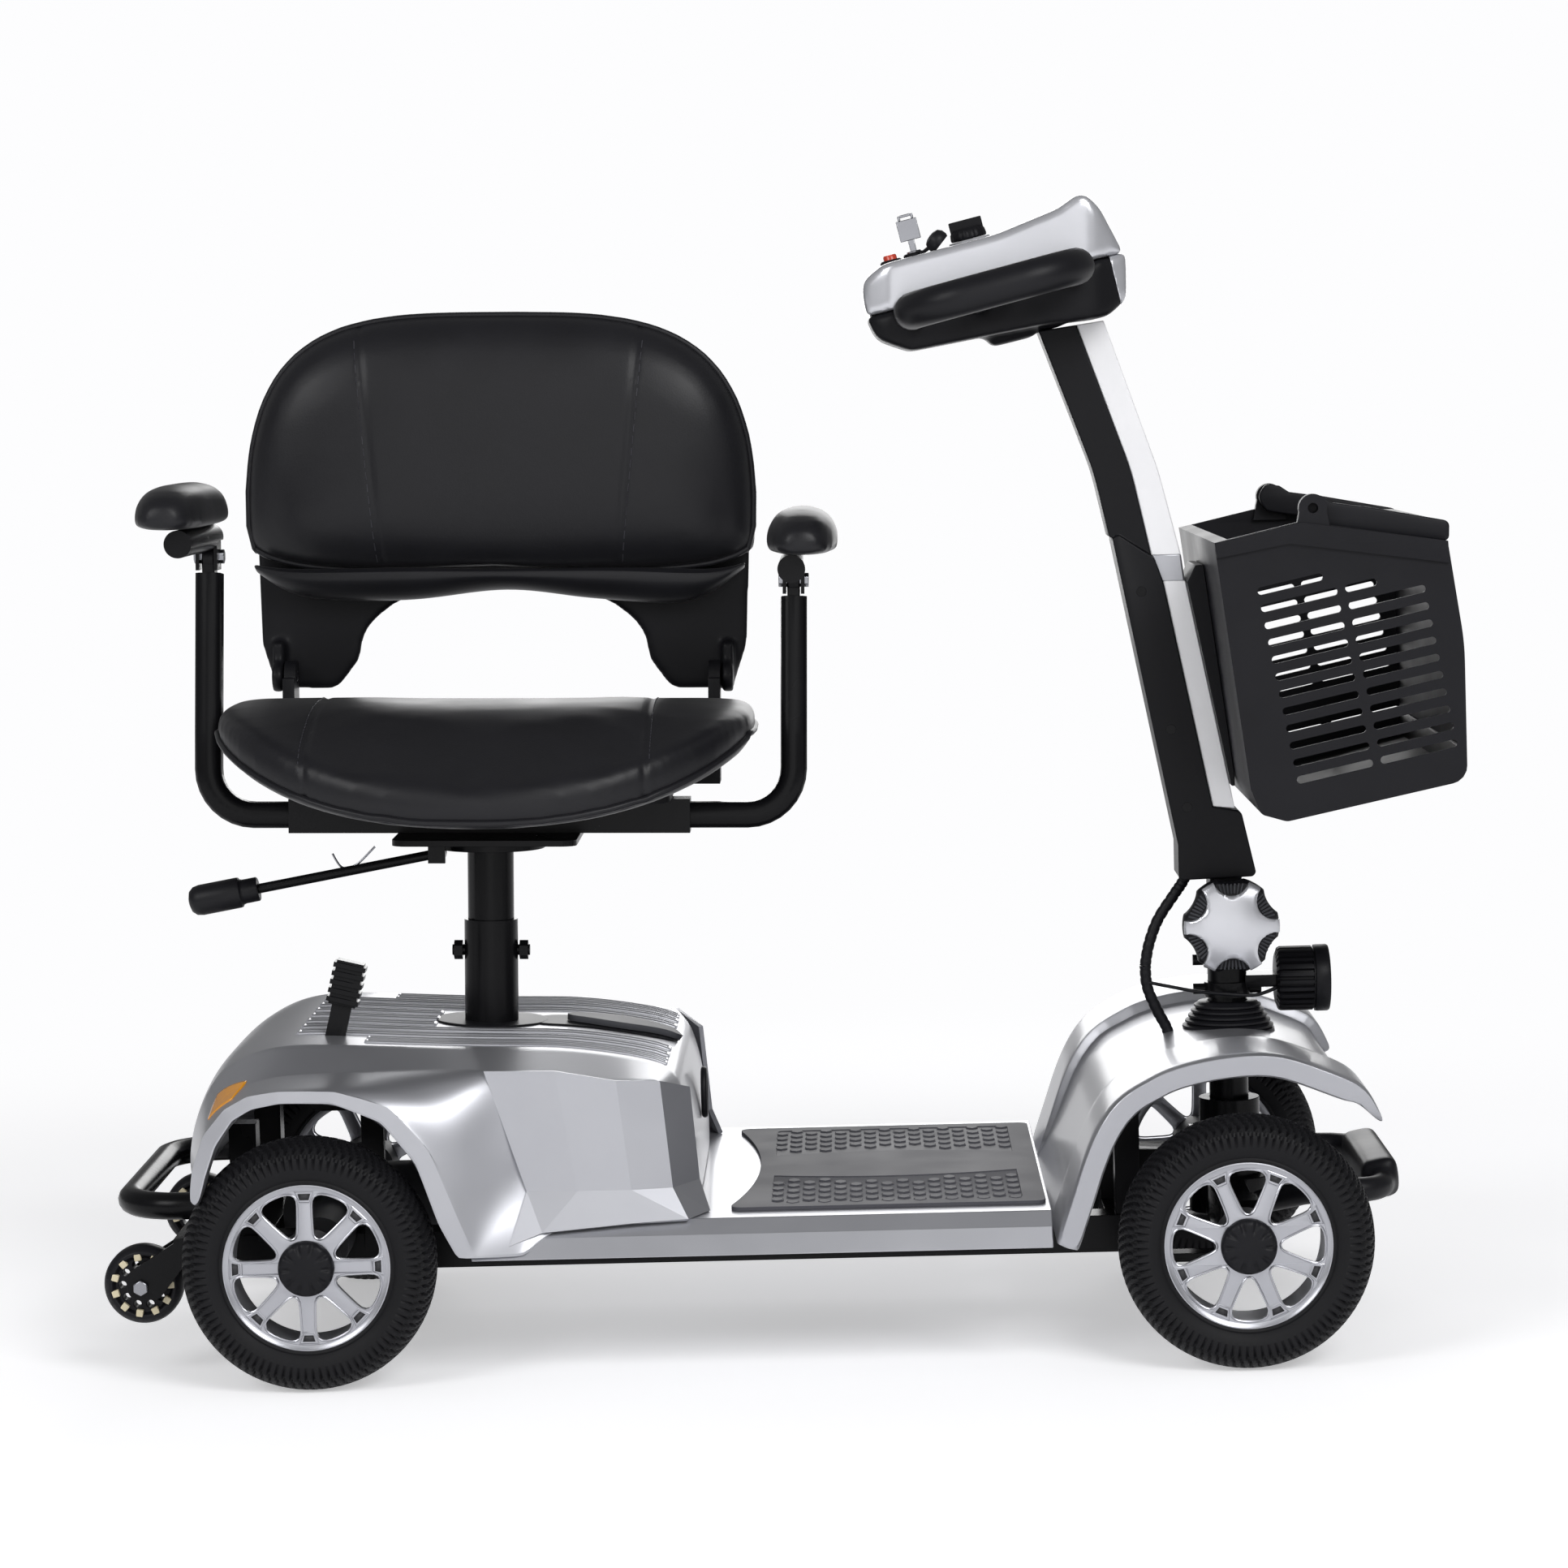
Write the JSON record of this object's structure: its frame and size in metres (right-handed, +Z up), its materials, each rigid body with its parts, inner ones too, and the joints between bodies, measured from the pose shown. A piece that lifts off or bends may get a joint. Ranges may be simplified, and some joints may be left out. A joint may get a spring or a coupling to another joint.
{
  "type": "mobility scooter",
  "caption": "Four-wheel mobility scooter with a tilting tiller, loop grips, front basket and a swivelling padded seat with flip-up arm rests.",
  "frame": {"origin": "middle of the scooter's overall box, on the ground", "axes": "+X forward, +Y to the rider's left when facing forward, +Z up"},
  "size_m": [1.0839, 0.496, 0.9196],
  "materials": {
    "silver_paint": "silver metallic paint on moulded plastic",
    "rim_silver": "satin silver paint",
    "console_silver": "silver paint, semi gloss",
    "trim_white": "pale silver, semi gloss",
    "black_plastic": "fine moulded texture",
    "basket_plastic": "moulded, satin",
    "black_steel": "black powder coat",
    "tyre_rubber": "moulded rubber",
    "soft_rubber": "satin rubber and foam",
    "mat_rubber": "embossed rubber",
    "seat_vinyl": "black grained vinyl",
    "grey_plastic": "grey moulded",
    "battery_plastic": "silver grey case",
    "bright_metal": "plated",
    "motor_metal": "dark cast housing",
    "red_plastic": "red button",
    "lamp_glass": "clear lens",
    "tip_wheel": "cast urethane on a black core"
  },
  "bodies": {
    "chassis": {"main_frame": "black_steel", "rear_bumper": "black_steel", "front_bumper": "soft_rubber", "transaxle": "motor_metal", "controller_box": "black_plastic", "battery_pack": "battery_plastic", "rear_cover": "silver_paint", "deck_cover": "silver_paint", "front_cover": "silver_paint", "floor_mat": "mat_rubber", "front_axle_beam": "black_steel", "anti_tip_arms": "black_steel", "steering_boot": "soft_rubber", "post_sleeve": "black_steel", "seat_post": "black_steel"},
    "battery_handle": {"battery_handle": "grey_plastic"},
    "freewheel": {"freewheel_lever": "black_steel"},
    "rear_wheel_left": {"rear_tyre_left": "tyre_rubber", "rear_rim_left": "rim_silver"},
    "rear_wheel_right": {"rear_tyre_right": "tyre_rubber", "rear_rim_right": "rim_silver"},
    "knuckle_left": {"knuckle_left": "black_steel"},
    "knuckle_right": {"knuckle_right": "black_steel"},
    "tie_rod": {"tie_rod": "bright_metal"},
    "front_wheel_left": {"front_tyre_left": "tyre_rubber", "front_rim_left": "rim_silver"},
    "front_wheel_right": {"front_tyre_right": "tyre_rubber", "front_rim_right": "rim_silver"},
    "tip_wheel_left": {"anti_tip_wheel_left": "tip_wheel"},
    "tip_wheel_right": {"anti_tip_wheel_right": "tip_wheel"},
    "column": {"steering_column": "black_steel", "headlight_body": "black_plastic", "headlight_lens": "lamp_glass", "harness": "soft_rubber"},
    "knob": {"tilt_knob": "black_plastic"},
    "tiller": {"tiller_post": "black_plastic", "tiller_trim": "trim_white", "console_lower": "black_plastic", "console_upper": "console_silver", "grip_left": "soft_rubber", "grip_right": "soft_rubber", "basket_bracket": "black_plastic", "basket": "basket_plastic"},
    "throttle": {"throttle_paddles": "black_plastic"},
    "key": {"ignition_key": "bright_metal"},
    "horn": {"horn_button": "red_plastic"},
    "dial": {"speed_dial": "black_plastic"},
    "basket_handle": {"basket_handle": "basket_plastic"},
    "seat": {"swivel_plate": "black_steel", "seat_pan": "black_plastic", "seat_cushion": "seat_vinyl"},
    "lever": {"swivel_lever": "black_steel"},
    "backrest": {"backrest_shell": "black_plastic", "back_cushion": "seat_vinyl"},
    "arm_left": {"arm_tube_left": "black_steel"},
    "arm_right": {"arm_tube_right": "black_steel"},
    "arm_rest_left": {"arm_bar_left": "black_steel", "arm_pad_left": "seat_vinyl"},
    "arm_rest_right": {"arm_bar_right": "black_steel", "arm_pad_right": "seat_vinyl"}
  },
  "joints": [
    {"name": "rear_left_spin", "type": "hinge", "parent": "chassis", "child": "rear_wheel_left", "pos_m": [-0.3715, 0.2175, 0.1], "axis": [0, 1, 0], "continuous": true},
    {"name": "rear_right_spin", "type": "hinge", "parent": "chassis", "child": "rear_wheel_right", "pos_m": [-0.3715, -0.2175, 0.1], "axis": [0, 1, 0], "continuous": true},
    {"name": "steer", "type": "hinge", "parent": "chassis", "child": "column", "pos_m": [0.367, 0, 0.327], "axis": [0, 0, 1], "range_deg": [-32, 32], "deforming": ["harness"]},
    {"name": "knuckle_left_turn", "type": "hinge", "parent": "chassis", "child": "knuckle_left", "pos_m": [0.3605, 0.16, 0.1], "axis": [0, 0, 1], "range_deg": [-33, 33]},
    {"name": "knuckle_right_turn", "type": "hinge", "parent": "chassis", "child": "knuckle_right", "pos_m": [0.3605, -0.16, 0.1], "axis": [0, 0, 1], "range_deg": [-33, 33]},
    {"name": "tie_rod_swing", "type": "hinge", "parent": "knuckle_left", "child": "tie_rod", "pos_m": [0.3005, 0.16, 0.0745], "axis": [0, 0, 1], "range_deg": [-33, 33]},
    {"name": "front_left_spin", "type": "hinge", "parent": "knuckle_left", "child": "front_wheel_left", "pos_m": [0.3605, 0.2175, 0.1], "axis": [0, 1, 0], "continuous": true},
    {"name": "front_right_spin", "type": "hinge", "parent": "knuckle_right", "child": "front_wheel_right", "pos_m": [0.3605, -0.2175, 0.1], "axis": [0, 1, 0], "continuous": true},
    {"name": "tip_left_spin", "type": "hinge", "parent": "chassis", "child": "tip_wheel_left", "pos_m": [-0.5105, 0.162, 0.076], "axis": [0, 1, 0], "continuous": true},
    {"name": "tip_right_spin", "type": "hinge", "parent": "chassis", "child": "tip_wheel_right", "pos_m": [-0.5105, -0.162, 0.076], "axis": [0, 1, 0], "continuous": true},
    {"name": "tiller_tilt", "type": "hinge", "parent": "column", "child": "tiller", "pos_m": [0.367, 0, 0.327], "axis": [0, 1, 0], "range_deg": [-8, 24], "deforming": ["harness"]},
    {"name": "knob_turn", "type": "hinge", "parent": "column", "child": "knob", "pos_m": [0.367, -0.045, 0.327], "axis": [0, 1, 0], "continuous": true},
    {"name": "throttle_push", "type": "hinge", "parent": "tiller", "child": "throttle", "pos_m": [0.173, 0, 0.834], "axis": [0, 1, 0], "range_deg": [-14, 14], "stiffness_Nm_per_rad": 0.3},
    {"name": "key_turn", "type": "hinge", "parent": "tiller", "child": "key", "pos_m": [0.12427, 0, 0.87485], "axis": [-0.2267, 0, 0.974], "range_deg": [0, 90]},
    {"name": "horn_press", "type": "slide", "parent": "tiller", "child": "horn", "axis": [0.2267, 0, -0.974], "range_m": [0, 0.003], "stiffness_N_per_m": 400},
    {"name": "dial_turn", "type": "hinge", "parent": "tiller", "child": "dial", "pos_m": [0.16907, 0, 0.88527], "axis": [-0.2267, 0, 0.974], "range_deg": [-135, 135]},
    {"name": "basket_handle_swing", "type": "hinge", "parent": "tiller", "child": "basket_handle", "pos_m": [0.425, 0, 0.668], "axis": [0, -1, 0], "range_deg": [0, 100]},
    {"name": "seat_swivel", "type": "hinge", "parent": "chassis", "child": "seat", "pos_m": [-0.2405, 0, 0.259], "axis": [0.0244, 0, 0.9997], "continuous": true},
    {"name": "swivel_lever_lift", "type": "hinge", "parent": "seat", "child": "lever", "pos_m": [-0.27704, -0.04, 0.40094], "axis": [0, 1, 0], "range_deg": [0, 8], "stiffness_Nm_per_rad": 3, "springref_deg": -2.86},
    {"name": "back_fold", "type": "hinge", "parent": "seat", "child": "backrest", "pos_m": [-0.23383, 0.15, 0.53192], "axis": [0.9997, 0, -0.0244], "range_deg": [0, 70]},
    {"name": "arm_left_width", "type": "slide", "parent": "seat", "child": "arm_left", "axis": [-0.9997, 0, 0.0244], "range_m": [0, 0.04]},
    {"name": "arm_right_width", "type": "slide", "parent": "seat", "child": "arm_right", "axis": [0.9997, 0, -0.0244], "range_m": [0, 0.04]},
    {"name": "arm_left_flip", "type": "hinge", "parent": "arm_left", "child": "arm_rest_left", "pos_m": [-0.46412, 0.022, 0.64558], "axis": [-0.9997, 0, 0.0244], "range_deg": [0, 90]},
    {"name": "arm_right_flip", "type": "hinge", "parent": "arm_right", "child": "arm_rest_right", "pos_m": [0.01825, 0.022, 0.61378], "axis": [-0.9997, 0, 0.0244], "range_deg": [0, 90]},
    {"name": "freewheel_push", "type": "hinge", "parent": "chassis", "child": "freewheel", "pos_m": [-0.3705, -0.108, 0.212], "axis": [0, 1, 0], "range_deg": [0, 25]},
    {"name": "battery_handle_lift", "type": "hinge", "parent": "chassis", "child": "battery_handle", "pos_m": [-0.1955, 0, 0.251], "axis": [0, -1, 0], "range_deg": [0, 75]}
  ],
  "couplings": [
    {"joint": "knuckle_left_turn", "follows": "steer", "ratio": 1},
    {"joint": "knuckle_right_turn", "follows": "steer", "ratio": 1},
    {"joint": "tie_rod_swing", "follows": "steer", "ratio": -1}
  ]
}
